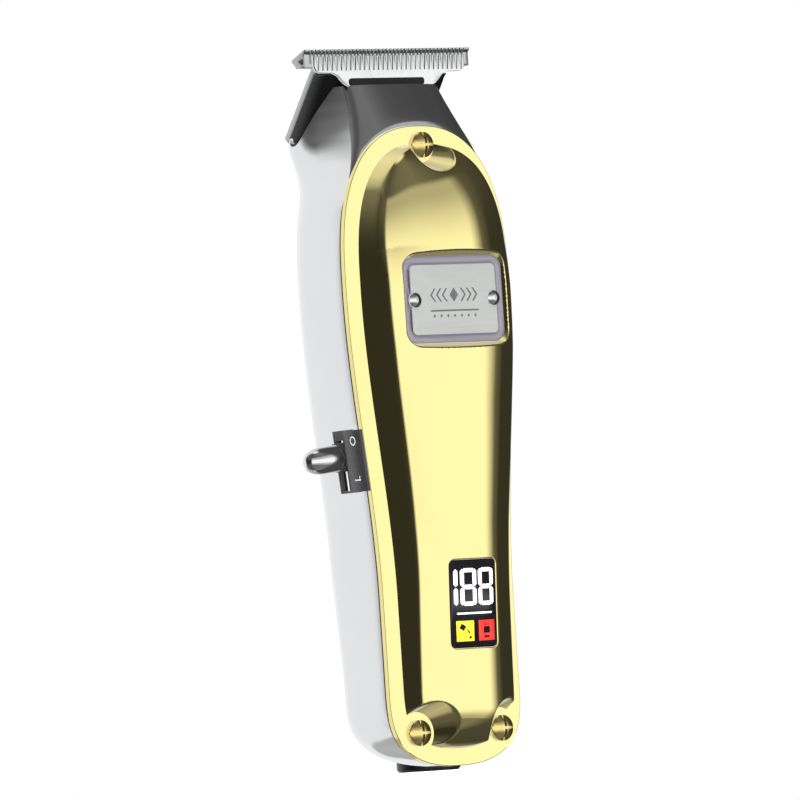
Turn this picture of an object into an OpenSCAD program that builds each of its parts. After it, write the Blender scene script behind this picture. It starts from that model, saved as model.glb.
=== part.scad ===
// Cordless T-blade beard trimmer, in millimetres.
// +Z runs along the length with the blade up, the cover faces -Y and the switch is on the -X side.
// The origin is the centre of the round foot's flat face.

/* [Shell] */
// Thickness of the housing wall
shell_wall = 1.7; // [1.4:0.1:1.8]
// Height of the cover's dome above its flange
cover_rise = 11.4; // [11.2:0.1:11.6]
// Width of the flat flange around the dome
flange_margin = 3.5; // [3.3:0.1:3.8]
// Thickness of the cover's flange
flange_thick = 1.3; // [1.1:0.1:1.3]
// Diameter of the round foot
foot_d = 13; // [12:0.5:14]

/* [Blade] */
// Width of the fixed comb
comb_width = 41.2; // [40.6:0.2:42]
// Number of teeth on the fixed comb
comb_teeth = 43; // [39:2:45]
// Width of the moving cutter
cutter_width = 37.5; // [36:0.5:38]
// Number of teeth on the moving cutter
cutter_teeth = 32; // [28:1:34]
// Height of the comb tips above the cutter tips
tip_gap = 1.5; // [1.2:0.1:1.8]
// Eccentric radius, half the cutter's stroke
crank_r = 1; // [0.6:0.1:1]

/* [Switch] */
// Length of the chrome knob
knob_length = 7.8; // [6:0.2:8.6]
// Diameter of the chrome knob
knob_d = 5.5; // [4.8:0.1:5.6]
// Travel of the knob from off to on
knob_travel = 4; // [3:0.5:4]

/* [Plate and display] */
// Width of the nameplate
plate_w = 24.4; // [23.4:0.2:24.8]
// Height of the nameplate
plate_h = 17.6; // [16:0.2:18]
// Width of the display window
window_w = 11.4; // [11.2:0.2:12]
// Height of the display window
window_h = 17.9; // [17.5:0.1:18.5]

/* [Drive] */
// Diameter of the battery cell
cell_d = 14.2; // [13.8:0.1:14.2]
// Length of the battery cell
cell_length = 50; // [48:0.5:50]
// Length of the motor can
can_length = 26; // [24:0.5:26]

/* [Hidden] */
$fn = 48;

face_y = -11;
top_z = 148;
cap_low = 18;
cap_high = 100;
flange_low = 0.7;
flange_high = 131.3;
low_w = 16.3;
wide_w = 20.4;
head_slope = 0.632;
back_pad = 2;
heel = [15, 130.3];
stem_angle = 39.5;
stem_thick = 1.6;
stem_half = 15.5;
contact_y = -1.7;
cutter_thick = 0.9;
motor_y = -1;
motor_z = 82;
shaft_r = 1;
pin_r = 1.2;
cell_y = -2.5;
cell_z = 12;
switch_x = -18.08;
switch_z = 63.7;
switch_tilt = 5.5;
screw_spots = [[0, 127.3], [-10.3, 7.8], [10.3, 7.8]];
board_spots = [[0, 16.5], [0, 52]];
plate_z = 95.2;
plate_rise = 8.66;
window_z = 33.3;
window_r = 31;
window_tilt = 3.4;
rivet_x = 9.8;
blade_screw_x = 11.3;
frame_screw_x = 11.4;

function smooth(t) = let (u = min(1, max(0, t))) u * u * (3 - 2 * u);

// A superellipse quarter: 1 at s = 0, falling to 0 at s = 1.
function cap(s, a, b) = pow(max(0, 1 - pow(max(0, s), a)), 1 / b);

function body_w(z) = low_w + (wide_w - low_w) * smooth((z - 35) / 63);

// Half-width of the flange outline set in by m, at height z.
function edge_w(z, m) =
    z > cap_high ? (wide_w - m) * cap((z - cap_high) / (flange_high - m - cap_high), 2.6, 2.4)
    : z < cap_low ? (low_w - m) * cap((cap_low - z) / (cap_low - m - flange_low), 3.6, 2.3)
    : body_w(z) - m;

// Heights at which the outline is sampled, close together at both ends.
function low_heights(m, n, skip) =
    [for (i = [n - skip:-1:1]) cap_low - (cap_low - m - flange_low) * pow(sin(90 * i / n), 0.5556)];
function mid_heights(n) = [for (i = [0:n]) cap_low + (cap_high - cap_low) * i / n];
function high_heights(m, n, skip) =
    [for (i = [1:n - skip]) cap_high + (flange_high - m - cap_high) * pow(sin(90 * i / n), 0.769)];

function half_outline(m) =
    concat([for (z = low_heights(m, 9, 1)) [edge_w(z, m), z]],
        [for (z = mid_heights(12)) [edge_w(z, m), z]],
        [for (z = high_heights(m, 9, 1)) [edge_w(z, m), z]]);

function outline(m) = let (h = half_outline(m), n = len(h))
    concat([[0, flange_low + m]], h, [[0, flange_high - m]],
        [for (i = [n - 1:-1:0]) [-h[i][0], h[i][1]]]);

// Faces of a closed skin through rings of equal length, with a fan round a middle point at each end.
function skin_faces(rings, n) =
    concat([for (j = [0:n - 1]) [rings * n, j, (j + 1) % n]],
        [for (i = [0:rings - 2]) for (j = [0:n - 1])
            let (a = i * n + j, b = i * n + (j + 1) % n) [b, a, a + n]],
        [for (i = [0:rings - 2]) for (j = [0:n - 1])
            let (a = i * n + j, b = i * n + (j + 1) % n) [b, a + n, b + n]],
        [for (j = [0:n - 1]) [rings * n + 1, (rings - 1) * n + (j + 1) % n, (rings - 1) * n + j]]);

function middle(points) = let (one = [for (p = points) 1]) one * points / len(points);

module skin(rings) {
    n = len(rings[0]);
    polyhedron(points = concat([for (r = rings) each r], [middle(rings[0]), middle(rings[len(rings) - 1])]),
        faces = skin_faces(len(rings), n));
}

// Crown height of the dome above the flange at height z.
function dome_h(z, m) =
    z > 98 ? cover_rise * cap((z - 98) / (flange_high - m - 98), 2.4, 2.2)
    : (cover_rise - 4 * (1 - smooth((z + 8) / 100)))
        * (z < 13 ? cap((13 - z) / 8.8, 2.6, 1.4) : 1);

// Radius of the crown, and how square the shoulders are, at height z.
function crown_r(z) = lookup(z, [[34, 31], [50, 33], [75, 42], [86, 50], [98, 50], [106, 38]]);
function shoulder_n(z) = lookup(z, [[50, 6], [85, 8]]);

function dome_at(u, w, h, z) =
    (h - min(h * 0.4, pow(u * w, 2) / 2 / crown_r(z)))
        * pow(max(0, 1 - pow(abs(u), shoulder_n(z))), 1 / 3);

// Samples across the dome, close together at the shoulders.
cross_steps = [for (k = [-9:9]) sign(k) * (k == 0 ? 0 : 1 - pow(1 - abs(k) / 9, 1.9))];

function dome_ring(z, m, drop, back) = let (w = edge_w(z, m), h = max(0.15, dome_h(z, m) - drop))
    concat([[-w, face_y + back, z]],
        [for (u = cross_steps) [w * u, face_y - dome_at(u, w, h, z), z]],
        [[w, face_y + back, z]]);

module dome(m, drop, back) {
    skin([for (z = concat(low_heights(m, 10, 2), mid_heights(14), high_heights(m, 12, 1)))
        dome_ring(z, m, drop, back)]);
}

// Height of the flange's top edge above x, and how far the head slopes back above that edge.
function arc_z(x) = cap_high + (flange_high - cap_high) * cap(abs(x) / wide_w, 2.4, 2.6);
function rise(t) = t < -2 ? 0 : t > 2 ? t : pow(t + 2, 2) / 8;

// Housing section at height z: front, rounded front corners, sides, rounded back.
function front_y(x, z) = face_y + flange_thick - 0.7 * smooth((z - 112) / 9)
    + head_slope * (z > 112 ? rise(z - arc_z(x) - 0.6) : 0);
function side_w(z) = z < 112 ? edge_w(z, 0)
    : lookup(z, [[112, edge_w(112, 0)], [115, 19.15], [118, 18.2], [120, 17.5], [122.5, 16.55], [125, 15.65],
        [128, 14.65], [131, 13.7], [134, 12.85], [137, 12.2], [140.4, 11.7], [142, 11.5]]);
function back_y(z) = let (full = 11 + 2.3 * smooth((z - 14) / 31) + 2.6 * smooth((z - 114) / 14))
    z < 14 ? face_y + flange_thick
        + (full - face_y - flange_thick) * max(0.3, cap((14 - z) / 13.6, 2.6, 2.2))
    : full;
function corner(z) = 0.4 + 2.2 * smooth((z - 118) / 14);
function rear_w(z) = z < 118 ? side_w(z) - 0.5
    : side_w(z) - 0.5 + (17.2 - side_w(z) + 0.5) * smooth((z - 118) / 12);
function back_p(z) = 4.8 + 1.6 * smooth((z - 118) / 12);

function half_section(z, t, front) =
    let (w = side_w(z) - t, v = rear_w(z) - t, r = max(0.3, corner(z) - t * 0.6),
        y0 = front_y(w - r, z) + front, y1 = back_y(z) - t - (t > 0 ? back_pad : 0))
    concat([for (k = [1:6]) [(w - r) * k / 6.5, front_y((w - r) * k / 6.5, z) + front]],
        [for (k = [0:3]) [w - r + r * sin(30 * k), y0 + r - r * cos(30 * k)]],
        [for (k = [1:9]) let (a = 10 * k, s = pow(sin(a), 2 / back_p(z)))
            [(w + (v - w) * s) * pow(cos(a), 2 / back_p(z)), y0 + r + (y1 - y0 - r) * s]]);

function housing_ring(z, t, front) = let (h = half_section(z, t, front), n = len(h))
    concat([[0, front_y(0, z) + front, z]],
        [for (p = h) [p[0], p[1], z]],
        [for (i = [n - 2:-1:0]) [-h[i][0], h[i][1], z]]);

module housing_skin(t, front, heights) {
    skin([for (z = heights) housing_ring(z, t, front)]);
}

outer_heights = concat([0.95, 1.25, 1.8, 2.7, 4, 5.8, 8.2, 11, 14], [for (i = [0:13]) 18 + 6.2 * i],
    [for (i = [0:6]) 103 + 4 * i], [129.5, 131.3, 133, 135.5, 138.2, 140.4]);
inner_heights = concat([3, 4.2, 6, 8.5, 12], [for (i = [0:9]) 18 + 9.2 * i],
    [for (i = [0:4]) 106 + 5 * i], [129.5, 131.3, 135.5, 141.5]);

// Turns a (y, z) polygon into a prism across X.
module across(half, points) {
    rotate([90, 0, 90])
        translate([0, 0, -half])
            linear_extrude(height = 2 * half)
                polygon(points);
}

// Turns an (x, z) shape into a prism from y0 back to y1.
module rearward(y0, y1) {
    translate([0, y1, 0])
        rotate([90, 0, 0])
            linear_extrude(height = y1 - y0)
                children();
}

module rod_y(x, z, r, y0, y1) {
    translate([x, y0, z])
        rotate([-90, 0, 0])
            cylinder(r = r, h = y1 - y0);
}

module round_rect(w, h, r) {
    square([w - 2 * r, h], center = true);
    square([w, h - 2 * r], center = true);
    for (sx = [-1, 1])
        for (sz = [-1, 1])
            translate([sx * (w / 2 - r), sz * (h / 2 - r)])
                circle(r = r);
}

// Point on the blade's stem plate: s up the slope from the heel, n out from its rear face.
function stem_at(s, n) = [heel[0] - s * sin(stem_angle) + n * cos(stem_angle),
    heel[1] + s * cos(stem_angle) + n * sin(stem_angle)];

// Places children with +Z out of the stem plate's rear face at distance s up the slope.
module on_stem(x, s) {
    p = stem_at(s, 0);
    translate([x, p[0], p[1]])
        rotate([-(90 - stem_angle), 0, 0])
            children();
}

module at_switch() {
    translate([switch_x, face_y, switch_z])
        rotate([0, -switch_tilt, 0])
            children();
}

module at_window() {
    translate([0, face_y - dome_h(window_z, flange_margin), window_z])
        rotate([window_tilt, 0, 0])
            children();
}

module wire(a, b, r) {
    d = b - a;
    l = norm(d);
    translate(a)
        rotate([0, acos(d[2] / l), atan2(d[1], d[0])])
            cylinder(r = r, h = l, $fn = 16);
}

module wire_path(points, r) {
    for (i = [0:len(points) - 2])
        wire(points[i], points[i + 1], r);
    for (i = [1:len(points) - 2])
        translate(points[i])
            sphere(r = 1.12 * r, $fn = 16);
}

module housing() {
    color("silver") {
        difference() {
            housing_skin(0, 0, outer_heights);
            difference() {
                housing_skin(shell_wall, 2.4, inner_heights);
                // Bosses for the cover screws
                for (i = [0:2])
                    rod_y(screw_spots[i][0], screw_spots[i][1], 2.9,
                        face_y, face_y + (i == 0 ? 5.6 : 10));
                // Web from the upper boss to the front wall
                translate([-0.8, face_y + 2, 127.3])
                    cube([1.6, 3.4, 8]);
            }
            // Seat for the cover flange
            rearward(face_y - 2, face_y + flange_thick)
                polygon(outline(-0.08));
            // Opening under the dome
            rearward(face_y - 2, face_y + 4.5)
                difference() {
                    polygon(outline(flange_margin + 0.6));
                    for (p = screw_spots)
                        translate(p)
                            circle(r = 4.3);
                }
            for (p = screw_spots)
                rod_y(p[0], p[1], 1.02, face_y, face_y + (p[0] == 0 ? 4.6 : 8));
            // Sloping mouth of the head, with a rounded lower end
            across(30, [[-0.2, 141.2], [7.7, 131], [8.6, 130.1], [10, 129.3], [11.4, 129.2],
                [12.25, 129.9], [12.35, 131], stem_at(12, -stem_thick), stem_at(12, 6),
                [-0.2, 147]]);
            across(30, [stem_at(-3, -stem_thick), stem_at(25, -stem_thick), stem_at(25, 12),
                stem_at(-3, 12)]);
            // Channel for the cutter's stem
            translate([-10.2 - crank_r - 0.35, -3.1, 130.8])
                cube([2 * (10.2 + crank_r + 0.35), 3.6, 12]);
            // Round hole for the foot
            translate([0, 0, -1])
                cylinder(r = foot_d / 2 + 0.05, h = 6);
            // Side window for the switch
            at_switch()
                translate([-3, 3.4, -6.45])
                    cube([8, 7.3, 12.9]);
        }
    }
}

module front_cover() {
    color("gold") {
        difference() {
            union() {
                rearward(face_y, face_y + flange_thick)
                    polygon(outline(0.1));
                dome(flange_margin, 0, 0.65);
            }
            difference() {
                dome(flange_margin + 1.5, 1.5, 3);
                for (p = screw_spots)
                    translate([p[0], face_y + 4, p[1]])
                        rotate([90, 0, 0])
                            cylinder(r1 = 3.6, r2 = 9, h = 16);
                for (p = board_spots)
                    rod_y(p[0], p[1], 2.2, face_y - 12, face_y - 3.2);
                // Backing of the nameplate's pocket
                translate([0, 0, plate_z])
                    rearward(face_y - 12, face_y - plate_rise + 2.1)
                        round_rect(plate_w + 2.6, plate_h + 2.6, 3.6);
            }
            // Scallops around the screws
            for (p = screw_spots)
                translate([p[0], face_y, p[1]])
                    rotate([90, 0, 0])
                        cylinder(r1 = 3.3, r2 = 6.8, h = 11);
            for (p = screw_spots)
                rod_y(p[0], p[1], 1.4, face_y - 3, face_y + 3);
            // Pocket for the nameplate, wider towards its mouth, and the rivet holes
            translate([0, face_y - plate_rise + 0.7, plate_z])
                rotate([90, 0, 0])
                    linear_extrude(height = 4, scale = [1 + 2.5 / plate_w, 1 + 2.5 / plate_h])
                        round_rect(plate_w + 0.1, plate_h + 0.1, 2.55);
            for (sx = [-1, 1])
                rod_y(sx * rivet_x, plate_z, 0.78, face_y - 10, face_y - 4);
            // Display opening
            at_window()
                rearward(-3, 5.5)
                    round_rect(window_w + 0.12, window_h + 0.12, 1.26);
            for (p = board_spots)
                rod_y(p[0], p[1], 0.76, face_y - 6.4, face_y - 2);
        }
    }
}

module cover_screws() {
    color("gold")
        for (p = screw_spots)
            translate([p[0], face_y, p[1]])
                rotate([90, 0, 0])
                    difference() {
                        union() {
                            translate([0, 0, p[0] == 0 ? -4.4 : -7.6])
                                cylinder(r = 1, h = p[0] == 0 ? 4.4 : 7.6);
                            intersection() {
                                cylinder(r = 2.65, h = 4);
                                translate([0, 0, -0.75])
                                    sphere(r = 3.45);
                            }
                        }
                        for (a = [0, 90])
                            rotate([0, 0, a])
                                translate([-3, -0.28, 1.45])
                                    cube([6, 0.56, 3]);
                    }
}

module nameplate() {
    color("lightgray")
        difference() {
            translate([0, 0, plate_z])
                rearward(face_y - plate_rise, face_y - plate_rise + 0.7)
                    round_rect(plate_w, plate_h, 2.5);
            translate([0, 0, plate_z])
                rearward(face_y - 10, face_y - plate_rise + 0.12)
                    round_rect(plate_w - 2.8, plate_h - 2.8, 1.3);
            for (sx = [-1, 1]) {
                rod_y(sx * rivet_x, plate_z, 0.78, face_y - 10, face_y - 7.5);
                rod_y(sx * rivet_x, plate_z, 1.53, face_y - 10, face_y - plate_rise + 0.12);
            }
        }
}

module nameplate_rivets() {
    color("silver")
        for (sx = [-1, 1])
            translate([sx * rivet_x, face_y - plate_rise + 0.12, plate_z])
                rotate([90, 0, 0]) {
                    intersection() {
                        cylinder(r = 1.5, h = 1.2);
                        translate([0, 0, -1.1])
                            sphere(r = 2.1);
                    }
                    translate([0, 0, -2.6])
                        cylinder(r = 0.75, h = 2.7);
                }
}

// Layer of the curved display between two radii, cut to a front-view shape.
module curved_layer(r0, r1) {
    at_window()
        intersection() {
            rearward(-2, 4)
                children();
            translate([0, window_r, -window_h])
                difference() {
                    cylinder(r = r1, h = 2 * window_h, $fn = 96);
                    translate([0, 0, -1])
                        cylinder(r = r0, h = 2 * window_h + 2, $fn = 96);
                }
        }
}

module display_window() {
    color("black")
        curved_layer(window_r - 1.2, window_r)
            round_rect(window_w, window_h, 1.2);
}

// One bar of a numeral, centred, of length l and width t, with pointed ends.
module bar(l, t) {
    polygon([[-l / 2, 0], [-l / 2 + t / 2, t / 2], [l / 2 - t / 2, t / 2],
        [l / 2, 0], [l / 2 - t / 2, -t / 2], [-l / 2 + t / 2, -t / 2]]);
}

module numeral(x0, w) {
    for (sz = [-1, 1]) {
        translate([x0 + 0.5, 3.38 + sz * 1.9])
            rotate(90)
                bar(3.6, 0.92);
        if (w > 2) {
            translate([x0 + w - 0.5, 3.38 + sz * 1.9])
                rotate(90)
                    bar(3.6, 0.92);
            translate([x0 + w / 2, 3.38 + sz * 3.4])
                bar(w - 1.2, 0.8);
        }
    }
    if (w > 2)
        translate([x0 + w / 2, 3.38])
            bar(w - 1.3, 0.9);
}

module display_digits() {
    color("white") {
        curved_layer(window_r, window_r + 0.05) {
            numeral(-4.95, 1.1);
            numeral(-3.45, 4);
            numeral(0.95, 4);
            // Plain rule under the numerals
            translate([0, -1.95])
                square([8.6, 0.35], center = true);
        }
    }
}

module oil_lamp() {
    color("gold")
        curved_layer(window_r, window_r + 0.05)
            difference() {
                translate([-4.55, -7.6])
                    square([4.15, 4.15]);
                translate([-3.1, -4.75])
                    rotate(-32)
                        square([1.25, 1.1], center = true);
                polygon([[-2.35, -4.9], [-1.95, -5.15], [-1.2, -6.05], [-1.75, -5.95]]);
                translate([-1.32, -6.85])
                    circle(r = 0.3);
            }
}

module charge_lamp() {
    color("red")
        curved_layer(window_r, window_r + 0.05)
            difference() {
                translate([0.8, -7.6])
                    square([4.15, 4.15]);
                translate([2.05, -6.1])
                    square([1.65, 1.35]);
                for (x = [2.35, 3.1])
                    translate([x, -4.6])
                        square([0.28, 0.75]);
                translate([2.1, -7])
                    square([1.5, 0.4]);
            }
}

module display_module() {
    color("white")
        translate([-4.9, face_y - 6.1, window_z - 8])
            cube([9.8, 2.7, 16]);
}

module circuit_board() {
    color("green")
        difference() {
            union() {
                translate([-8.5, face_y - 3.15, 14.3])
                    cube([17, 1.15, 41.7]);
                translate([-6.5, face_y - 2, 27])
                    cube([4.2, 1, 4.2]);
                translate([2.2, face_y - 2, 34])
                    cube([3, 1.3, 5]);
                translate([3.8, face_y - 2, 22])
                    cube([2.6, 1, 2.6]);
            }
            for (p = board_spots)
                rod_y(p[0], p[1], 0.95, face_y - 4, face_y);
        }
}

module board_screws() {
    color("gray")
        for (p = board_spots) {
            rod_y(p[0], p[1], 0.75, face_y - 6, face_y - 1.9);
            rod_y(p[0], p[1], 1.6, face_y - 1.98, face_y - 1.1);
        }
}

module charging_socket() {
    color("gray") {
        difference() {
            translate([0, 0, 0.5])
                linear_extrude(height = 7)
                    round_rect(8.9, 3.3, 1.6);
            translate([0, 0, 0.3])
                linear_extrude(height = 6)
                    round_rect(8.3, 2.7, 1.3);
        }
        translate([-3.2, -0.35, 1])
            cube([6.4, 0.7, 5.8]);
    }
}

module foot_ring() {
    color("dimgray")
        difference() {
            union() {
                cylinder(r = foot_d / 2 - 0.3, h = 0.6);
                translate([0, 0, 0.3])
                    cylinder(r = foot_d / 2, h = 4.2);
            }
            translate([0, 0, -1])
                linear_extrude(height = 8)
                    round_rect(9, 3.4, 1.65);
        }
}

module battery_cell() {
    color("royalblue")
        translate([0, cell_y, cell_z]) {
            cylinder(r = cell_d / 2, h = cell_length);
            cylinder(r = 3, h = cell_length + 0.9);
        }
}

module battery_holder() {
    color("dimgray")
        difference() {
            translate([0, cell_y, cell_z - 1.9])
                cylinder(r = 8.4, h = 53.8);
            translate([0, cell_y, cell_z - 0.35])
                cylinder(r = 7.2, h = 51.5);
            translate([-10, cell_y - 20, 0])
                cube([20, 20.5, 90]);
        }
}

module battery_tabs() {
    color("silver")
        for (z = [cell_z - 0.25, cell_z + cell_length + 0.95])
            translate([-2.5, cell_y - 6.6, z])
                cube([5, 6.9, 0.2]);
}

module battery_leads() {
    color("firebrick") {
        wire_path([[-1.8, -9.6, 11.9], [-2.4, -11.2, 13], [-3.3, -12.5, 15.4]], 0.45);
        wire_path([[1.2, -9.7, 63], [1.2, -11.9, 62], [1.2, -12.5, 54.6]], 0.45);
    }
}

module can_shape(r, flat, h) {
    intersection() {
        cylinder(r = r, h = h);
        translate([-15, -flat, -1])
            cube([30, 2 * flat, h + 2]);
    }
}

module motor_can() {
    color("silver")
        translate([0, motor_y, motor_z])
            difference() {
                union() {
                    can_shape(10.2, 7.7, can_length);
                    translate([0, 0, can_length])
                        cylinder(r = 3, h = 1.5);
                }
                translate([0, 0, -1])
                    can_shape(9.4, 6.9, can_length + 0.2);
                cylinder(r = shaft_r + 0.05, h = 60);
                for (sx = [-1, 1])
                    translate([sx * 8, 0, can_length - 2])
                        cylinder(r = 0.8, h = 4);
            }
}

module motor_magnets() {
    color("dimgray")
        translate([0, motor_y, motor_z + 4])
            intersection() {
                difference() {
                    cylinder(r = 9.35, h = 17);
                    translate([0, 0, -1])
                        cylinder(r = 7.1, h = 20);
                }
                union()
                    for (sx = [-1, 1])
                        translate([sx * 10 - 5, -6, -1])
                            cube([10, 12, 20]);
            }
}

module motor_end_cap() {
    color("black")
        translate([0, motor_y, motor_z - 2.6])
            difference() {
                union() {
                    can_shape(10, 7.5, 2.6);
                    translate([0, 0, 2.6])
                        can_shape(9.35, 6.85, 1.6);
                    for (sx = [-1, 1])
                        translate([sx * 6 - 0.6, -1.4, -2.6])
                            cube([1.2, 0.5, 2.8]);
                }
                translate([0, 0, -1])
                    cylinder(r = shaft_r + 0.05, h = 8);
            }
}

module motor_leads() {
    color("black")
        for (sx = [-1, 1])
            for (leg = [[[-2.95, 77.6], [-8, 71]], [[-8, 71], [-12.45, 62]], [[-12.45, 62], [-12.45, 55.2]]])
                hull()
                    for (p = leg)
                        translate([sx * 6, p[0], p[1]])
                            sphere(r = 0.5, $fn = 12);
}

module motor_shaft() {
    color("silver")
        translate([0, motor_y, motor_z - 2])
            cylinder(r = shaft_r, h = 38);
}

module armature() {
    color("peru")
        translate([0, motor_y, motor_z + 2.4])
            difference() {
                union() {
                    translate([0, 0, 2.6])
                        cylinder(r = 6.4, h = 14);
                    translate([0, 0, 1])
                        cylinder(r = 4.6, h = 18);
                    cylinder(r = 2.2, h = 4);
                }
                translate([0, 0, -1])
                    cylinder(r = shaft_r + 0.01, h = 22);
                for (a = [0, 120, 240])
                    rotate([0, 0, a])
                        translate([3.6, -0.5, 2])
                            cube([4, 1, 16]);
            }
}

module eccentric_cam() {
    color("ivory")
        translate([0, motor_y, 0])
            difference() {
                union() {
                    translate([0, 0, 113.2])
                        cylinder(r = 4.2, h = 6);
                    translate([0, -crank_r, 118])
                        cylinder(r = pin_r, h = 9.2);
                }
                translate([0, 0, 112])
                    cylinder(r = shaft_r + 0.01, h = 6.05);
            }
}

module motor_mount() {
    color("dimgray")
        difference() {
            union() {
                translate([0, -2, 109.9 - 1.75])
                    linear_extrude(height = 2.6)
                        round_rect(29, 13, 4);
                for (sx = [-1, 1])
                    translate([sx * frame_screw_x, -3, 110])
                        cylinder(r = 2.3, h = 11.9);
            }
            translate([0, motor_y, 100])
                cylinder(r = 3.05, h = 20);
            for (sx = [-1, 1])
                translate([sx * 8, motor_y, 100])
                    cylinder(r = 0.95, h = 20);
            for (sx = [-1, 1])
                translate([sx * frame_screw_x, -3, 114])
                    cylinder(r = 0.81, h = 10);
            translate([-11, -8, 105])
                cube([22, 16, 3]);
        }
}

module motor_screws() {
    color("silver")
        for (sx = [-1, 1])
            translate([sx * 8, motor_y, 0]) {
                translate([0, 0, 106.4])
                    cylinder(r = 0.78, h = 4.5);
                translate([0, 0, 110.76])
                    cylinder(r = 1.6, h = 1);
            }
}

module blade_bracket() {
    color("black")
        difference() {
            union() {
                // Part that shows in the slot of the head
                across(15.1, [[contact_y + 0.3, 142.8], stem_at(17.6, -stem_thick - 0.04),
                    stem_at(2.8, -stem_thick - 0.04), [11.95, 130.4], [11.3, 129.6],
                    [10.1, 129.65], [8.9, 130.4], [8, 131.2], [0.1, 141.3], [-0.4, 142]]);
                // Part inside the housing, narrower in the tapering head
                across(11.8, [[contact_y + 0.3, 131.4], [9.9, 131.4], [11.3, 129.6], [9, 127],
                    [5, 122.2], [contact_y + 0.3, 122.2]]);
                across(10.5, [[contact_y + 0.3, 142], [2, 142], [10, 131.3], [contact_y + 0.3, 131.3]]);
                for (sx = [-1, 1])
                    translate([sx * frame_screw_x, -3, 122.2])
                        cylinder(r = 2.3, h = 2.6);
            }
            // Channel for the yoke, open to the front, with the rear wall left standing
            across(7, [[-20, 118], [-20, 150], stem_at(19, -stem_thick - 2.4),
                stem_at(-6, -stem_thick - 2.4), [9, 118]]);
            for (sx = [-1, 1]) {
                on_stem(sx * blade_screw_x, 8.5)
                    translate([0, 0, -6])
                        cylinder(r = 1.02, h = 8);
                translate([sx * frame_screw_x, -3, 120])
                    cylinder(r = 0.95, h = 8);
            }
            translate([-9, 6.5, 127.6])
                rotate([0, 90, 0])
                    cylinder(r = 0.65, h = 18);
        }
}

module frame_screws() {
    color("silver")
        for (sx = [-1, 1])
            translate([sx * frame_screw_x, -3, 0]) {
                translate([0, 0, 116])
                    cylinder(r = 0.8, h = 9);
                translate([0, 0, 124.82])
                    cylinder(r = 1.55, h = 1.1);
            }
}

module fixed_blade() {
    tooth_pitch = (comb_width - 2.2) / (comb_teeth - 1);
    color("dimgray")
        difference() {
            union() {
                across(comb_width / 2, [[contact_y, 144.3], [contact_y, top_z - 1], [-2.25, top_z - 0.45],
                    [-2.3, top_z - 0.1], [-1.95, top_z], [2.6, top_z - 1.75], [2.9, top_z - 2.1],
                    [1.75, 144.85], [1.3, 144.3]]);
                difference() {
                    across(stem_half, [stem_at(0.2, 0), stem_at(18.6, 0), [0.4, 145.6], [-0.6, 144.6],
                        stem_at(17.8, -stem_thick), stem_at(0.2, -stem_thick)]);
                    for (sx = [-1, 1])
                        on_stem(sx * stem_half, 0)
                            rotate([0, 0, 45])
                                cube([1.6, 1.6, 8], center = true);
                }
            }
            // Gaps between the comb teeth
            for (i = [0:comb_teeth - 2])
                translate([(i - (comb_teeth - 2) / 2) * tooth_pitch - 0.2, -4, top_z - 2.9])
                    cube([0.4, 4.8, 4]);
            // Groove behind the cutting edge
            across(comb_width, [[contact_y + 0.4, 144.9], [contact_y + 1, 144.9], [contact_y + 2.1, 145.7],
                [contact_y + 0.8, 146.3], [contact_y + 0.4, 146.3]]);
            for (sx = [-1, 1])
                on_stem(sx * blade_screw_x, 8.5)
                    translate([0, 0, -4])
                        cylinder(r = 1.25, h = 8);
        }
}

module blade_screws() {
    color("silver")
        for (sx = [-1, 1])
            on_stem(sx * blade_screw_x, 8.5)
                difference() {
                    union() {
                        translate([0, 0, -5.6])
                            cylinder(r = 1, h = 5.8);
                        translate([0, 0, 0.02])
                            cylinder(r = 2.3, h = 1.2);
                    }
                    for (a = [0, 90])
                        rotate([0, 0, a])
                            translate([-1.5, -0.3, 0.6])
                                cube([3, 0.6, 2]);
                }
}

module cutter_spring() {
    color("silver")
        wire_path([[-8.6, 6.5, 127.6], [-4.2, 6.5, 127.6], [-3.2, 5.6, 128.6], [-3.2, 2.1, 135.2],
            [3.2, 2.1, 135.2], [3.2, 5.6, 128.6], [4.2, 6.5, 127.6], [8.6, 6.5, 127.6]], 0.55);
}

module moving_cutter() {
    tip = top_z - tip_gap;
    root = tip - 3.1;
    half = cutter_width / 2;
    pitch = (cutter_width - 0.5) / cutter_teeth;
    color("lightgray")
        difference() {
            rearward(contact_y - 0.1 - cutter_thick, contact_y - 0.1)
                polygon(concat([[10.2, 131.2], [10.2, 140.3], [11.2, 140.7], [12.1, 141.5], [13, 142.5],
                    [14.4, 143.1], [half - 1.3, 143.1], [half - 0.4, 143.5], [half, 144.3], [half, tip]],
                    [for (i = [0:cutter_teeth - 1]) let (x = half - 0.25 - (i + 0.5) * pitch)
                        for (q = [[0.36, tip], [0.13, root + 0.15], [-0.13, root + 0.15], [-0.36, tip]])
                            [x + q[0], q[1]]],
                    [[-half, tip], [-half, 144.3], [-half + 0.4, 143.5], [-half + 1.3, 143.1],
                    [-14.4, 143.1], [-13, 142.5], [-12.1, 141.5], [-11.2, 140.7], [-10.2, 140.3],
                    [-10.2, 131.2]]));
            for (z = [133.5, 136.5])
                rod_y(0, z, 0.9, -6, 0);
        }
}

module drive_yoke() {
    color("ivory")
        difference() {
            union() {
                // Pad on the back of the cutter
                translate([-4.6, contact_y - 0.1, 127])
                    cube([9.2, 2.9, 11]);
                // Fork around the eccentric pin
                translate([-4.6, -4.9, 120.4])
                    cube([9.2, 7.6, 6.8]);
                for (z = [133.5, 136.5])
                    rod_y(0, z, 0.88, contact_y - 1.2, contact_y + 1);
            }
            translate([-pin_r - 0.3, motor_y - crank_r - pin_r - 0.3, 119])
                cube([2 * pin_r + 0.6, 2 * (crank_r + pin_r + 0.3), 9]);
        }
}

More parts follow.
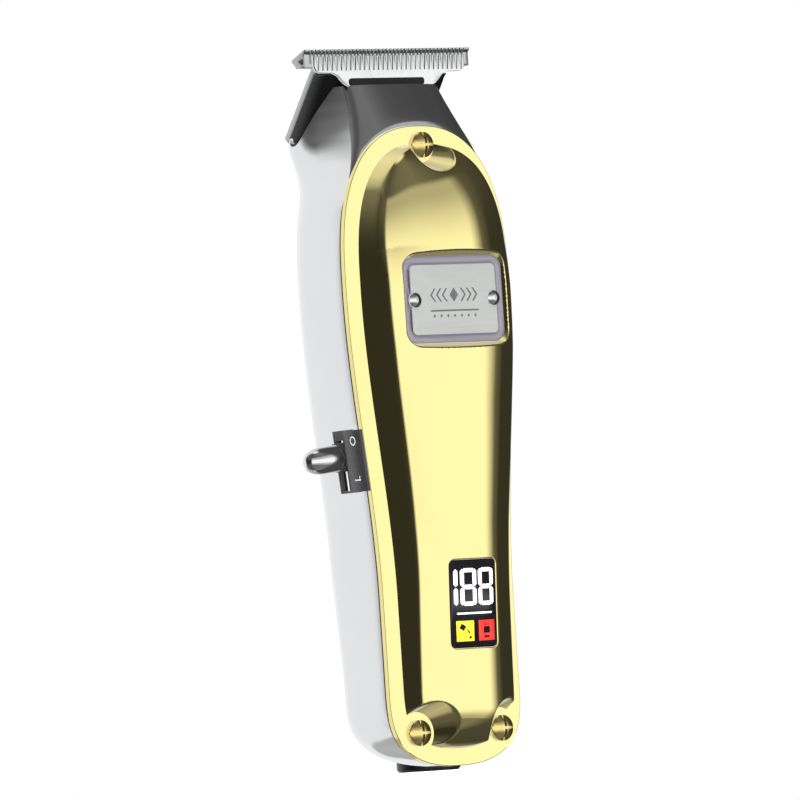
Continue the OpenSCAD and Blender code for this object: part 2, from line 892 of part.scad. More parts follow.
module switch_plate() {
    color("dimgray")
        at_switch()
            difference() {
                union() {
                    translate([-0.75, 0.15, -6.3])
                        cube([0.68, 5.85, 12.6]);
                    translate([-0.1, 3.5, -6.4])
                        cube([1.7, 7.1, 12.8]);
                }
                translate([-2, 6.4, -6])
                    cube([6, 3.9, 10.4]);
            }
}

module switch_marks() {
    color("white")
        at_switch()
            translate([-0.8, 0, 0])
                rotate([0, 90, 0]) {
                    translate([-4.1, 3, 0])
                        difference() {
                            cylinder(r = 0.95, h = 0.05);
                            translate([0, 0, -1])
                                cylinder(r = 0.68, h = 3);
                        }
                    translate([3.9, 3.1, 0]) {
                        translate([-0.15, -1, 0])
                            cube([0.28, 2, 0.05]);
                        translate([-0.78, -1, 0])
                            rotate([0, 0, 14])
                                cube([0.66, 0.24, 0.05]);
                    }
                }
}

module switch_red_mark() {
    color("red")
        at_switch()
            translate([-0.75, 6, 4.55])
                cube([0.65, 0.2, 1.75]);
}

module slide_switch() {
    color("silver")
        at_switch()
            difference() {
                translate([4.9, 5.6, -5.8])
                    cube([3, 6, 11.6]);
                translate([4, 7.2, -knob_travel - 0.2])
                    cube([2.6, 2.7, knob_travel + 2.6]);
            }
}

module switch_knob() {
    color("silver")
        at_switch()
            translate([-1.5, 8.5, 1])
                rotate([0, -90, 0])
                    rotate_extrude()
                        polygon(concat([[0, 0], [knob_d / 2 - 0.15, 0], [knob_d / 2, 0.2]],
                            [for (k = [0:9]) let (a = 10 * k)
                                [knob_d / 2 * pow(cos(a), 0.8),
                                knob_length * 0.52 + knob_length * 0.48 * sin(a)]]));
}

module switch_carriage() {
    color("black")
        at_switch() {
            translate([-1.5, 8.5, 1])
                rotate([0, 90, 0])
                    cylinder(r = 2.6, h = 0.55);
            translate([-1, 6.7, -1.9])
                cube([3.7, 3.4, 5.8]);
            translate([2.6, 5.6, -6.6])
                cube([1.1, 5.6, 15.2]);
            translate([3.6, 7.8, 0.3])
                cube([2.6, 1.4, 1.4]);
        }
}

housing();
front_cover();
cover_screws();
nameplate();
nameplate_rivets();
display_window();
display_digits();
oil_lamp();
charge_lamp();
display_module();
circuit_board();
board_screws();
charging_socket();
foot_ring();
battery_cell();
battery_holder();
battery_tabs();
battery_leads();
motor_can();
motor_magnets();
motor_end_cap();
motor_leads();
motor_shaft();
armature();
eccentric_cam();
motor_mount();
motor_screws();
blade_bracket();
frame_screws();
fixed_blade();
blade_screws();
cutter_spring();
moving_cutter();
drive_yoke();
switch_plate();
switch_marks();
switch_red_mark();
slide_switch();
switch_knob();
switch_carriage();
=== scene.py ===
"""Looks of the cordless beard trimmer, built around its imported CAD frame.

Sizes are in millimetres until a mesh is made.
"""

import math

import bmesh
import bpy
import numpy as np
from mathutils import Matrix, Vector
from mathutils.geometry import delaunay_2d_cdt


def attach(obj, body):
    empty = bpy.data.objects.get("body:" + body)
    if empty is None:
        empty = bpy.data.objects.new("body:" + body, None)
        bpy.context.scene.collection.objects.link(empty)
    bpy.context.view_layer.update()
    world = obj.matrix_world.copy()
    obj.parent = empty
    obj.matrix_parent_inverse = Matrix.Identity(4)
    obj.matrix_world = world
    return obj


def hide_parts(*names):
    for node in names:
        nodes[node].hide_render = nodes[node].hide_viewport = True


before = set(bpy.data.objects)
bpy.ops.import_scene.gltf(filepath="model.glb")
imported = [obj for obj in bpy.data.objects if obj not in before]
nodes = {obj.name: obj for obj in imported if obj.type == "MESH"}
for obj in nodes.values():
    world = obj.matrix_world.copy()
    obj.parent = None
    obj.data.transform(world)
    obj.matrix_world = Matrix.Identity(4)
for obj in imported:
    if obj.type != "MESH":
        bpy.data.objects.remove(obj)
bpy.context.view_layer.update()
MM = 0.001

# ---------------------------------------------------------------- shell sizes, as in the CAD
FACE_Y = -11.0            # front face of the cover's flange
FLANGE_THICK = 1.3
FLANGE_MARGIN = 3.5       # width of the flange outside the dome
LOW_W, WIDE_W = 16.3, 20.4                          # half-widths of the flange near its two ends
CAP_LOW, CAP_HIGH = 18.0, 100.0                     # heights where the rounded ends start
FLANGE_LOW, FLANGE_HIGH = 0.7, 131.3                # ends of the flange
LOW_POWERS, HIGH_POWERS = (3.6, 2.3), (2.6, 2.4)    # roundness of the ends, along Z and along X
COVER_RISE = 11.4         # dome over the flange
WALL_SLOPE = 5.5          # steepness of the dome's wall at its foot
PLATE_Z, PLATE_W, PLATE_H, PLATE_RISE = 95.2, 24.4, 17.6, 8.66
POCKET_W, POCKET_H, POCKET_R = PLATE_W + 0.1, PLATE_H + 0.1, 2.55
POCKET_FLOOR = PLATE_RISE - 0.7
POCKET_WALL = 0.31        # run of the pocket's wall for each mm of rise
WINDOW_Z, WINDOW_W, WINDOW_H = 33.3, 11.4, 17.9
SEAT_W, SEAT_H, SEAT_R = WINDOW_W + 0.12, WINDOW_H + 0.12, 1.26
WINDOW_SEAT = 1.25        # depth of the display's seat
SEAT_RIM = 0.3            # rounding of the seat's edge
SCREWS = ((0.0, 127.3), (-10.3, 7.8), (10.3, 7.8))
SCALLOPS = ((3.6, 3.2), (4.3, 3.4), (4.3, 3.4))    # radius at the flange and slope of each screw's scallop
HEEL, STEM_ANGLE, STEM_THICK = (15.0, 130.3), math.radians(39.5), 1.6    # the blade's sloping stem plate
HEAD_START = 112          # above it the housing narrows to the head
HEAD_SLOPE = 0.632        # how fast the head's front slopes back
HEAD_Z = (HEAD_START, 115, 118, 120, 122.5, 125, 128, 131, 134, 137, 140.4, 142)
HOUSING_TOP = 140.4
SHELL_WALL = 1.7
BACK_PAD = 1.5            # further wall at the back: 0.5 less than in the CAD, as the cuts fail at 2.0
FOOT_HOLE_R = 6.55
SWITCH_TILT = math.radians(5.5)
SWITCH_AT = (-18.08, FACE_Y, 63.7)
MOUTH = ((-0.2, 141.2), (7.7, 131), (8.6, 130.1), (9.3, 129.6), (10, 129.3), (10.7, 129.15), (11.4, 129.2),
         (11.95, 129.5), (12.25, 129.9), (12.35, 131))    # (y, z) of the opening under the blade


def smooth(t):
    u = np.clip(t, 0, 1)
    return u * u * (3 - 2 * u)


def cap(s, a, b):
    """Rounded end: 1 at s = 0 and 0 at s = 1."""
    return np.maximum(0, 1 - np.maximum(0, s) ** a) ** (1 / b)


def body_w(z):
    """Half-width of the flange between its rounded ends."""
    return LOW_W + (WIDE_W - LOW_W) * smooth((z - 35) / 63)


def edge_w(z, m):
    """Half-width of the flange outline set in by m."""
    z = np.asarray(z, float)
    high = (WIDE_W - m) * cap((z - CAP_HIGH) / (FLANGE_HIGH - m - CAP_HIGH), *HIGH_POWERS)
    low = (LOW_W - m) * cap((CAP_LOW - z) / (CAP_LOW - m - FLANGE_LOW), *LOW_POWERS)
    return np.where(z > CAP_HIGH, high, np.where(z < CAP_LOW, low, body_w(z) - m))


def outline(m, n_cap=90, n_side=120):
    """Closed outline (x, z) set in by m, with the same count of points for any m."""
    t = np.radians(90 * np.arange(1, n_cap) / n_cap)[::-1]
    low = np.stack([(LOW_W - m) * np.cos(t) ** (2 / LOW_POWERS[1]),
                    CAP_LOW - (CAP_LOW - m - FLANGE_LOW) * np.sin(t) ** (2 / LOW_POWERS[0])], 1)
    z = CAP_LOW + (CAP_HIGH - CAP_LOW) * np.arange(n_side + 1) / n_side
    side = np.stack([body_w(z) - m, z], 1)
    t = t[::-1]
    high = np.stack([(WIDE_W - m) * np.cos(t) ** (2 / HIGH_POWERS[1]),
                     CAP_HIGH + (FLANGE_HIGH - m - CAP_HIGH) * np.sin(t) ** (2 / HIGH_POWERS[0])], 1)
    half = np.concatenate([low, side, high])
    left = half[::-1] * (-1, 1)
    return np.concatenate([[[0, FLANGE_LOW + m]], half, [[0, FLANGE_HIGH - m]], left])


def crown(z):
    """Height of the dome's crown above the flange."""
    m = FLANGE_MARGIN
    up = COVER_RISE * cap((z - 98) / (FLANGE_HIGH - m - 98), 2.4, 2.2)
    along = COVER_RISE - 4.0 * (1 - smooth((z + 8) / 100))
    low = along * np.where(z < 13, cap((13 - z) / 8.8, 2.6, 1.4), 1)
    return np.where(z > 98, up, low)


def inset(x, z):
    """Distance in from the dome's outline, good near it."""
    m = FLANGE_MARGIN
    ax = np.maximum(np.abs(x), 1e-6)
    w_mid = np.maximum(edge_w(np.clip(z, CAP_LOW, CAP_HIGH), m), 1)
    power = LOW_POWERS[1] + 0.1 * np.clip((z - CAP_LOW) / (CAP_HIGH - CAP_LOW), 0, 1)
    u = ax / w_mid
    t = (1 - u ** power) * w_mid / (power * u ** (power - 1))
    for lim, way, w, (a, b), far in ((CAP_HIGH, 1, WIDE_W - m, HIGH_POWERS, FLANGE_HIGH - m - CAP_HIGH),
                                     (CAP_LOW, -1, LOW_W - m, LOW_POWERS, CAP_LOW - m - FLANGE_LOW)):
        s = np.maximum((z - lim) * way, 1e-6) / far
        u = ax / w
        level = 1 - s ** a - u ** b
        slope = np.hypot(a * s ** (a - 1) / far, b * u ** (b - 1) / w)
        t = np.where((z - lim) * way > 0, level / slope, t)
    return t


def smin(a, b, k):
    """Smaller of two heights, blended over k where they cross."""
    t = np.maximum(k - np.abs(a - b), 0) / k
    return np.minimum(a, b) - t * t * k / 4


def dome(x, z):
    """Height of the plain dome: a crowned top, rounded shoulders and a steep wall down to the flange."""
    w = np.maximum(edge_w(z, FLANGE_MARGIN), 1e-6)
    u = np.abs(x) / w
    h = crown(z)
    r = np.interp(z, [34, 50, 75, 86, 98, 106], [31, 33, 42, 50, 50, 38])
    n = np.interp(z, [50, 85], [6, 8])
    body = h - np.minimum(h * 0.4, x * x / 2 / r)
    free = body * np.maximum(0, 1 - np.minimum(u, 1) ** n) ** (1 / 3)
    t = inset(x, z)
    wall = WALL_SLOPE * np.maximum(t, 0)
    foot = smin(free, wall, np.clip(8 * t, 1e-6, 1.0))
    return np.where((u < 1) & (t > 0), np.where(t < 2.6, foot, free), 0)


def rect_distance(x, z, w, h, r):
    """Signed distance to a rounded rectangle, negative inside."""
    qx, qz = np.abs(x) - (w / 2 - r), np.abs(z) - (h / 2 - r)
    return np.hypot(np.maximum(qx, 0), np.maximum(qz, 0)) + np.minimum(np.maximum(qx, qz), 0) - r


def cover_height(x, z):
    """Height of the finished cover: dome, nameplate pocket, screw scallops and display seat."""
    f = dome(x, z)
    s = rect_distance(x, z - PLATE_Z, POCKET_W, POCKET_H, POCKET_R)
    pocket = POCKET_FLOOR + np.maximum(s, 0) / POCKET_WALL
    f = np.where(s < 3, smin(f, pocket, 0.7), f)
    for (px, pz), (r, slope) in zip(SCREWS, SCALLOPS):
        wall = slope * (np.hypot(x - px, z - pz) - r)
        fillet = np.minimum(1.1, np.maximum(f, 0.02) * 0.5)
        f = np.where(wall < 14, smin(f, np.maximum(wall, -0.4), fillet), f)
    s = rect_distance(x, z - WINDOW_Z, SEAT_W, SEAT_H, SEAT_R)
    rim = np.clip(SEAT_RIM - s, 0, SEAT_RIM)
    f = f - (SEAT_RIM - np.sqrt(np.maximum(0.09 - rim ** 2, 0))) * (s < SEAT_RIM) * 0.5
    f = f - np.clip(-s / 0.05, 0, 1) * (WINDOW_SEAT - 0.15)
    return np.maximum(f, 0)


# ---------------------------------------------------------------- mesh helpers
def new_mesh(name, points, faces, smooth_faces=True):
    mesh = bpy.data.meshes.new(name)
    mesh.from_pydata([tuple(float(c) * MM for c in p) for p in points], [],
                     [tuple(int(i) for i in f) for f in faces])
    mesh.polygons.foreach_set("use_smooth", [smooth_faces] * len(mesh.polygons))
    mesh.update()
    obj = bpy.data.objects.new(name, mesh)
    bpy.context.scene.collection.objects.link(obj)
    return obj


def ring_faces(rings, n):
    """Quads between closed rings of n points each."""
    faces = []
    for i in range(rings - 1):
        for j in range(n):
            k = (j + 1) % n
            faces.append((i * n + j, i * n + k, (i + 1) * n + k, (i + 1) * n + j))
    return faces


def outward(obj):
    """Turn all faces of a closed mesh to the outside."""
    bm = bmesh.new()
    bm.from_mesh(obj.data)
    bmesh.ops.recalc_face_normals(bm, faces=bm.faces)
    bm.to_mesh(obj.data)
    bm.free()
    return obj


def apply_modifiers(obj):
    graph = bpy.context.evaluated_depsgraph_get()
    mesh = bpy.data.meshes.new_from_object(obj.evaluated_get(graph))
    obj.modifiers.clear()
    obj.data = mesh


def cut(obj, *cutters):
    """Subtract each cutter in turn, then remove it."""
    for c in cutters:
        mod = obj.modifiers.new("cut", "BOOLEAN")
        mod.operation = "DIFFERENCE"
        mod.solver = "EXACT"
        mod.object = c
        apply_modifiers(obj)
        bpy.data.objects.remove(c)


def prism(name, points, lo, hi, axis):
    """Closed prism from a polygon: axis "x" takes (y, z) points, axis "y" takes (x, z) points."""
    put = (lambda p, t: (t, p[0], p[1])) if axis == "x" else (lambda p, t: (p[0], t, p[1]))
    n = len(points)
    verts = [put(p, lo) for p in points] + [put(p, hi) for p in points]
    faces = ring_faces(2, n) + [tuple(range(n - 1, -1, -1)), tuple(range(n, 2 * n))]
    obj = new_mesh(name, verts, faces, False)
    return outward(obj)


def round_rect(w, h, r, n=10):
    """Rounded rectangle about the origin, with n steps round each corner."""
    pts = []
    for cx, cz, a0 in ((1, -1, -90), (1, 1, 0), (-1, 1, 90), (-1, -1, 180)):
        for k in range(n + 1):
            a = math.radians(a0 + 90 * k / n)
            pts.append((cx * (w / 2 - r) + r * math.cos(a), cz * (h / 2 - r) + r * math.sin(a)))
    return np.array(pts)


def dense(points, step):
    """Closed polygon with its long sides split to at most step."""
    out = []
    for a, b in zip(points, np.roll(points, -1, axis=0)):
        k = max(1, int(math.ceil(np.hypot(*(b - a)) / step)))
        out += [a + (b - a) * i / k for i in range(k)]
    return np.array(out)


def circle(x, z, r):
    turn = np.radians(np.arange(0, 360, 3.6))
    return np.stack([x + r * np.cos(turn), z + r * np.sin(turn)], 1)


# ---------------------------------------------------------------- the gold cover
FLANGE_EDGE_R = 0.16      # rounding of the flange's front edge
GRID = 0.8                # spacing of the points where the dome is smooth
GRID_INSET = 1.7          # and how far inside its foot they start


def cover_normals(x, z):
    """Normals of the cover's front, from the height's own slopes."""
    e = 2e-4
    gx = (cover_height(x + e, z) - cover_height(x - e, z)) / (2 * e)
    gz = (cover_height(x, z + e) - cover_height(x, z - e)) / (2 * e)
    n = np.stack([-gx, -np.ones_like(gx), -gz], 1)
    return n / np.linalg.norm(n, axis=1)[:, None]


def pocket_loop(grow=0.0):
    return dense(round_rect(POCKET_W + 2 * grow, POCKET_H + 2 * grow, POCKET_R + grow), 0.5) + (0, PLATE_Z)


def seat_loop(grow=0.0):
    return dense(round_rect(SEAT_W + 2 * grow, SEAT_H + 2 * grow, SEAT_R + grow), 0.5) + (0, WINDOW_Z)


def make_cover():
    """Front surface and flange wall of the cover: creases are kept as edges, and points crowd round them."""
    edge_r = FLANGE_EDGE_R
    edge = outline(edge_r)
    creases = [outline(FLANGE_MARGIN)]
    for (px, pz), (r0, _) in zip(SCREWS, SCALLOPS):
        creases.append(circle(px, pz, r0))
    creases += [pocket_loop(), seat_loop()]
    rings = [outline(1.9), outline(FLANGE_MARGIN - 0.08)]
    for t in (0.06, 0.125, 0.18, 0.25, 0.33, 0.42, 0.52, 0.65, 0.8, 1.0, 1.2, 1.4, 1.65, 2.1, 2.7, 3.5):
        rings.append(outline(FLANGE_MARGIN + t))
    for (px, pz), (r0, _) in zip(SCREWS, SCALLOPS):
        for r in np.concatenate([[r0 - 0.15, r0 - 0.05], np.arange(r0 + 0.1, r0 + 3.6, 0.1)]):
            rings.append(circle(px, pz, r))
    rings += [pocket_loop(s) for s in np.arange(0.06, 1.5, 0.07)]
    rings += [seat_loop(s) for s in (-0.2, -0.05, -0.02, 0.04, 0.09, 0.14, 0.2, 0.26, 0.31, 0.5)]
    gx, gz = (g.ravel() for g in np.meshgrid(np.arange(-16.8, 17, GRID), np.arange(5, 127.5, GRID)))
    clear = inset(gx, gz) > GRID_INSET
    rings.append(np.stack([gx[clear], gz[clear]], 1))
    pts = np.concatenate(rings)
    inside = np.abs(pts[:, 0]) < edge_w(pts[:, 1], edge_r) - 0.05
    inside &= (pts[:, 1] > FLANGE_LOW + edge_r + 0.05) & (pts[:, 1] < FLANGE_HIGH - edge_r - 0.05)
    pts = pts[inside]
    verts = [Vector(p) for p in np.concatenate([edge] + creases + [pts])]
    kept, start = [], len(edge)
    for loop in creases:
        n = len(loop)
        kept += [(start + i, start + (i + 1) % n) for i in range(n)]
        start += n
    out = delaunay_2d_cdt(verts, kept, [list(range(len(edge)))], 1, 1e-7)
    flat = np.array([tuple(v) for v in out[0]])
    tris = np.array(out[2], int)
    h = cover_height(flat[:, 0], flat[:, 1])
    top = np.stack([flat[:, 0], FACE_Y - h, flat[:, 1]], 1)
    a, b, c = (flat[tris[:, i]] for i in range(3))
    area = np.cross(b - a, c - a)
    tris = tris[np.abs(area) > 1e-9]
    area = area[np.abs(area) > 1e-9]
    tris = np.where(area[:, None] > 0, tris, tris[:, ::-1])
    # Each corner's normal is taken just inside its own triangle, so creases stay sharp
    centre = flat[tris].mean(1)
    corner = flat[tris] * 0.97 + centre[:, None] * 0.03
    normals = cover_normals(corner[..., 0].ravel(), corner[..., 1].ravel())
    # Rounded edge and side wall of the flange, swept round the outline
    sweep, sweep_n = [], []
    for k in range(6):
        a = math.radians(90 * k / 5)
        sweep.append((edge_r * (1 - math.sin(a)), FACE_Y + edge_r * (1 - math.cos(a))))
        sweep_n.append((math.sin(a), -math.cos(a)))
    sweep += [(0.0, FACE_Y + FLANGE_THICK * 0.6), (0.0, FACE_Y + FLANGE_THICK)]
    sweep_n += [(1.0, 0.0)] * 2
    ring0 = outline(0.0)
    tangent = np.roll(ring0, -1, axis=0) - np.roll(ring0, 1, axis=0)
    out_n = np.stack([tangent[:, 1], -tangent[:, 0]], 1)
    out_n /= np.linalg.norm(out_n, axis=1)[:, None]
    strip, strip_n = [], []
    for (m, y), (ns, ny) in zip(sweep, sweep_n):
        o = outline(m)
        strip.append(np.stack([o[:, 0], np.full(len(o), y), o[:, 1]], 1))
        strip_n.append(np.stack([out_n[:, 0] * ns, np.full(len(o), ny), out_n[:, 1] * ns], 1))
    strip, strip_n = np.concatenate(strip), np.concatenate(strip_n)
    quads = ring_faces(len(sweep), len(ring0))
    offset = len(top)
    quads = [q[::-1] for q in quads]
    faces = [tuple(t) for t in tris] + [tuple(i + offset for i in q) for q in quads]
    obj = new_mesh("cover_shell", np.concatenate([top, strip]), faces)
    loops = [tuple(n) for n in normals] + [tuple(strip_n[i]) for q in quads for i in q]
    obj.data.normals_split_custom_set(loops)
    return obj


cover = make_cover()
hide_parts("front_cover")
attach(cover, "handle")


# ---------------------------------------------------------------- the chrome housing
HEAD_W = (float(edge_w(112.0, 0)), 19.15, 18.2, 17.5, 16.55, 15.65, 14.65, 13.7, 12.85, 12.2, 11.7, 11.5)


def side_w(z):
    """Half-width at the front: the flange's, then the head's."""
    return float(edge_w(z, 0)) if z < HEAD_START else float(np.interp(z, HEAD_Z, HEAD_W))


def arc_z(x):
    """Height of the flange's top edge above x."""
    return CAP_HIGH + (FLANGE_HIGH - CAP_HIGH) * float(cap(abs(x) / WIDE_W, *HIGH_POWERS[::-1]))


def front_y(x, z):
    """Housing front, which slopes back above the flange's edge."""
    t = z - arc_z(x) - 0.6
    back = 0 if t < -2 else t if t > 2 else (t + 2) ** 2 / 8
    start = FACE_Y + FLANGE_THICK - 0.7 * float(smooth((z - HEAD_START) / 9))
    return start + HEAD_SLOPE * (back if z > HEAD_START else 0)


def back_y(z):
    """Housing back, which comes forward in a round at the bottom end."""
    full = 11 + 2.3 * smooth((z - 14) / 31) + 2.6 * smooth((z - 114) / 14)
    start = FACE_Y + FLANGE_THICK
    low = start + (full - start) * np.maximum(0.3, cap((14 - z) / 13.6, 2.6, 2.2))
    return np.where(z < 14, low, full)


def rear_w(z):
    """Half-width towards the back."""
    s = side_w(z)
    return s - 0.5 + (17.2 - s + 0.5) * float(smooth((z - 118) / 12)) * (z >= 118)


def section(z, t, front, n_front=16, n_arc=6, n_side=34):
    """Ring of points at height z, set in by t, with the front moved back by front."""
    w, v = side_w(z) - t, float(rear_w(z)) - t
    r = max(0.3, 0.4 + 2.2 * float(smooth((z - 118) / 14)) - t * 0.6)
    p = 4.8 + 1.6 * float(smooth((z - 118) / 12))
    y1 = float(back_y(z)) - t - (BACK_PAD if t > 0 else 0)
    lean = math.atan((front_y(w - r, z) - front_y(w - r - 0.2, z)) / 0.2)
    edge = w - r * (1 - math.sin(lean))
    half = [(edge * k / n_front, front_y(edge * k / n_front, z) + front) for k in range(1, n_front)]
    y0 = front_y(edge, z) + front + r * math.cos(lean)
    for k in range(n_arc + 1):
        a = lean + (math.pi / 2 - lean) * k / n_arc
        half.append((w - r + r * math.sin(a), y0 - r * math.cos(a)))
    for k in range(1, n_side + 1):
        a = math.radians(90 * k / n_side)
        s = math.sin(a) ** (2 / p)
        half.append(((w + (v - w) * s) * max(math.cos(a), 0) ** (2 / p), y0 + (y1 - y0) * s))
    half[-1] = (0.0, half[-1][1])
    right = [(x, y, z) for x, y in half]
    left = [(-x, y, z) for x, y, _ in right[-2::-1]]
    return [(0.0, front_y(0, z) + front, z)] + right + left


def skin(name, t, front, heights):
    rings = [section(float(z), t, front) for z in heights]
    n = len(rings[0])
    faces = [tuple(range(n - 1, -1, -1))] + ring_faces(len(rings), n)
    faces.append(tuple(range((len(rings) - 1) * n, len(rings) * n)))
    obj = new_mesh(name, [p for r in rings for p in r], faces)
    return outward(obj)


def stem_at(s, n):
    """Point (y, z) at s along the stem plate from its heel and n out from its back."""
    return (HEEL[0] - s * math.sin(STEM_ANGLE) + n * math.cos(STEM_ANGLE),
            HEEL[1] + s * math.cos(STEM_ANGLE) + n * math.sin(STEM_ANGLE))


def make_housing():
    """Polished shell: outer skin less its hollow, cover seat, blade seat, switch window and foot hole."""
    low = [0.95, 1.05, 1.25, 1.5, 1.85, 2.3, 2.9, 3.6, 4.5, 5.5, 6.7, 8, 9.5, 11, 12.5, 14]
    body = list(np.arange(15.5, 104, 1.5))
    head = list(np.arange(104.5, HOUSING_TOP + 0.01, 0.7))[:-1]
    obj = skin("housing_shell", 0, 0, low + body + head + [HOUSING_TOP])
    hollow = [3, 4.2, 6, 8.5, 12] + list(np.arange(18, 131, 5)) + [131.3, 135.5, 141.5]
    inner = skin("inner", SHELL_WALL, 2.4, hollow)
    seat = prism("seat", outline(-0.08), FACE_Y - 2, FACE_Y + FLANGE_THICK - 0.01, "y")
    under = prism("under", outline(FLANGE_MARGIN + 0.6), FACE_Y - 2, FACE_Y + 4.5, "y")
    over_mouth = [stem_at(12, -STEM_THICK), stem_at(12, 6), (-0.2, 147)]
    mouth = prism("mouth", list(MOUTH) + over_mouth, -30, 30, "x")
    above_stem = [stem_at(-3, -STEM_THICK), stem_at(25, -STEM_THICK), stem_at(25, 12), stem_at(-3, 12)]
    slope = prism("slope", above_stem, -30.1, 30.1, "x")
    channel = prism("channel", [(-3.1, 130.8), (0.5, 130.8), (0.5, 142.8), (-3.1, 142.8)],
                    -11.55, 11.55, "x")
    window = prism("window", [(3.4, -6.45), (10.7, -6.45), (10.7, 6.45), (3.4, 6.45)], -3, 5, "x")
    window.data.transform(Matrix.Translation(Vector(SWITCH_AT) * MM) @ Matrix.Rotation(-SWITCH_TILT, 4, "Y"))
    turn = np.radians(np.arange(0, 360, 5))
    n = len(turn)
    hole = np.stack([FOOT_HOLE_R * np.cos(turn), FOOT_HOLE_R * np.sin(turn)], 1)
    foot = new_mesh("foot", [(x, y, -1) for x, y in hole] + [(x, y, 5) for x, y in hole],
                    ring_faces(2, n) + [tuple(range(n - 1, -1, -1)), tuple(range(n, 2 * n))], False)
    cut(obj, inner, seat, under, mouth, slope, channel, window, foot)
    obj.data.polygons.foreach_set("use_smooth", [True] * len(obj.data.polygons))
    obj.data.set_sharp_from_angle(angle=math.radians(38))
    return obj


housing = make_housing()
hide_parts("housing")
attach(housing, "handle")


# ---------------------------------------------------------------- nameplate face and ornament
def slab(name, pts, y_back, y_front, bevel):
    """Flat plate seen from the front, with its front edge rounded by bevel."""
    n = len(pts)
    inner = pts * (1 - bevel / np.hypot(pts[:, 0], pts[:, 1]))[:, None]
    verts = [(x, y_back, z) for x, z in pts] + [(x, y_front + bevel, z) for x, z in pts]
    verts += [(x, y_front, z) for x, z in inner]
    faces = ring_faces(3, n) + [tuple(range(n - 1, -1, -1)), tuple(range(2 * n, 3 * n))]
    obj = new_mesh(name, verts, faces, False)
    return outward(obj)


def make_ornament():
    """Chevrons each side of a diamond, over a thin rule and a row of small diamonds."""
    bm = bmesh.new()
    y0, y1 = FACE_Y - PLATE_RISE + 0.1, FACE_Y - PLATE_RISE - 0.04

    def add(points):
        back = [bm.verts.new((x * MM, y0 * MM, (z + PLATE_Z) * MM)) for x, z in points]
        front = [bm.verts.new((x * MM, y1 * MM, (z + PLATE_Z) * MM)) for x, z in points]
        bm.faces.new(front)
        bm.faces.new(back[::-1])
        for i in range(len(points)):
            j = (i + 1) % len(points)
            bm.faces.new((back[i], back[j], front[j], front[i]))

    def diamond(x, z, w, h):
        add([(x - w, z), (x, z - h), (x + w, z), (x, z + h)])

    def chevron(x, z, way, w=1.0, h=1.35, t=0.42):
        add([(x, z - h), (x + way * w, z), (x, z + h),
             (x - way * t, z + h), (x + way * (w - t), z), (x - way * t, z - h)])

    diamond(0, 0.9, 1.05, 1.45)
    for side in (-1, 1):
        for k in range(3):
            chevron(side * (2.0 + 1.45 * k), 0.9, side)
    add([(-6.0, -2.45), (6.0, -2.45), (6.0, -2.12), (-6.0, -2.12)])
    for k in range(-3, 4):
        diamond(k * 1.7, -3.35, 0.3, 0.36)
    bmesh.ops.recalc_face_normals(bm, faces=bm.faces)
    mesh = bpy.data.meshes.new("nameplate_ornament")
    bm.to_mesh(mesh)
    bm.free()
    obj = bpy.data.objects.new("nameplate_ornament", mesh)
    bpy.context.scene.collection.objects.link(obj)
    return obj


ornament = make_ornament()
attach(ornament, "handle")

plate_face = FACE_Y - PLATE_RISE
panel = slab("nameplate_panel", round_rect(PLATE_W - 3.2, PLATE_H - 3.4, 1.0),
             plate_face + 0.12, plate_face - 0.01, 0.06)
panel.data.transform(Matrix.Translation(Vector((0, 0, PLATE_Z)) * MM))
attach(panel, "handle")

# Black front edge of the blade bracket, seen below the cutter's teeth
lip = slab("bracket_lip", round_rect(18.6, 1.5, 0.6), -3.3, -4.0, 0.15)
lip.data.transform(Matrix.Translation(Vector((-1.7, 0, 141.1)) * MM))
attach(lip, "handle")


# ---------------------------------------------------------------- materials
def noise(tree, scale, detail, stretch=(1, 1, 1), rough=0.5):
    coord = tree.nodes.new("ShaderNodeTexCoord")
    mapping = tree.nodes.new("ShaderNodeMapping")
    mapping.inputs["Scale"].default_value = [scale * s for s in stretch]
    tex = tree.nodes.new("ShaderNodeTexNoise")
    tex.inputs["Scale"].default_value = 1
    tex.inputs["Detail"].default_value = detail
    tex.inputs["Roughness"].default_value = rough
    tree.links.new(coord.outputs["Object"], mapping.inputs["Vector"])
    tree.links.new(mapping.outputs["Vector"], tex.inputs["Vector"])
    return tex


def ranged(tree, source, lo, hi):
    """Number from lo to hi that follows a noise."""
    node = tree.nodes.new("ShaderNodeMapRange")
    node.inputs["From Min"].default_value = 0.3
    node.inputs["From Max"].default_value = 0.7
    node.inputs["To Min"].default_value = lo
    node.inputs["To Max"].default_value = hi
    tree.links.new(source, node.inputs["Value"])
    return node.outputs["Result"]


def tinted(tree, source, dark, light):
    """Colour from dark to light that follows a noise."""
    ramp = tree.nodes.new("ShaderNodeValToRGB")
    ramp.color_ramp.elements[0].position = 0.3
    ramp.color_ramp.elements[1].position = 0.7
    ramp.color_ramp.elements[0].color = (*dark, 1)
    ramp.color_ramp.elements[1].color = (*light, 1)
    tree.links.new(source, ramp.inputs["Fac"])
    return ramp.outputs["Color"]


def shade(c, k):
    return tuple(min(1.0, v * k) for v in c)


